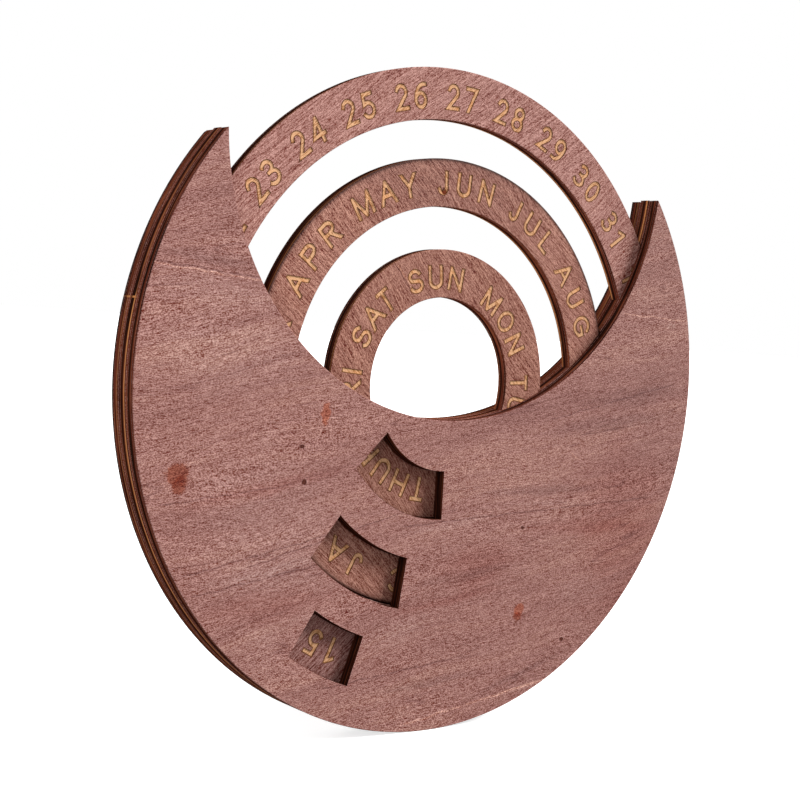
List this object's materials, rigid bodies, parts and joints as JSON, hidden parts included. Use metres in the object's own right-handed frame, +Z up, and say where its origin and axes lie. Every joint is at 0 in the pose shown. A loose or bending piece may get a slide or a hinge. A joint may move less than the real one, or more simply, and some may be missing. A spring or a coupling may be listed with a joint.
{
  "type": "perpetual desk calendar",
  "caption": "Perpetual desk calendar of laser-cut plywood: date, month and weekday rings turn between two crescent plates and are read through windows.",
  "frame": {"origin": "on the desk, below the disc's centre and midway in its thickness", "axes": "+X to the right seen from the front, +Y from the front plate to the back plate, +Z up"},
  "size_m": [0.15, 0.0086, 0.1422],
  "materials": {
    "plate_wood": "stained plywood, matt",
    "spacer_wood": "plywood with laser-burnt edges, matt",
    "ring_wood": "stained plywood with lettering engraved to bare wood, matt"
  },
  "bodies": {
    "body": {"front_plate": "plate_wood", "back_plate": "plate_wood", "outer_spacer": "spacer_wood", "date_month_spacer": "spacer_wood", "month_weekday_spacer": "spacer_wood", "hub": "spacer_wood"},
    "date_ring": {"date_ring": "ring_wood"},
    "month_ring": {"month_ring": "ring_wood"},
    "weekday_ring": {"weekday_ring": "ring_wood"}
  },
  "joints": [
    {"name": "date_turn", "type": "hinge", "parent": "body", "child": "date_ring", "pos_m": [0, 0, 0.075], "axis": [0, -1, 0], "continuous": true},
    {"name": "month_turn", "type": "hinge", "parent": "body", "child": "month_ring", "pos_m": [0, 0, 0.075], "axis": [0, -1, 0], "continuous": true},
    {"name": "weekday_turn", "type": "hinge", "parent": "body", "child": "weekday_ring", "pos_m": [0, 0, 0.075], "axis": [0, -1, 0], "continuous": true}
  ]
}
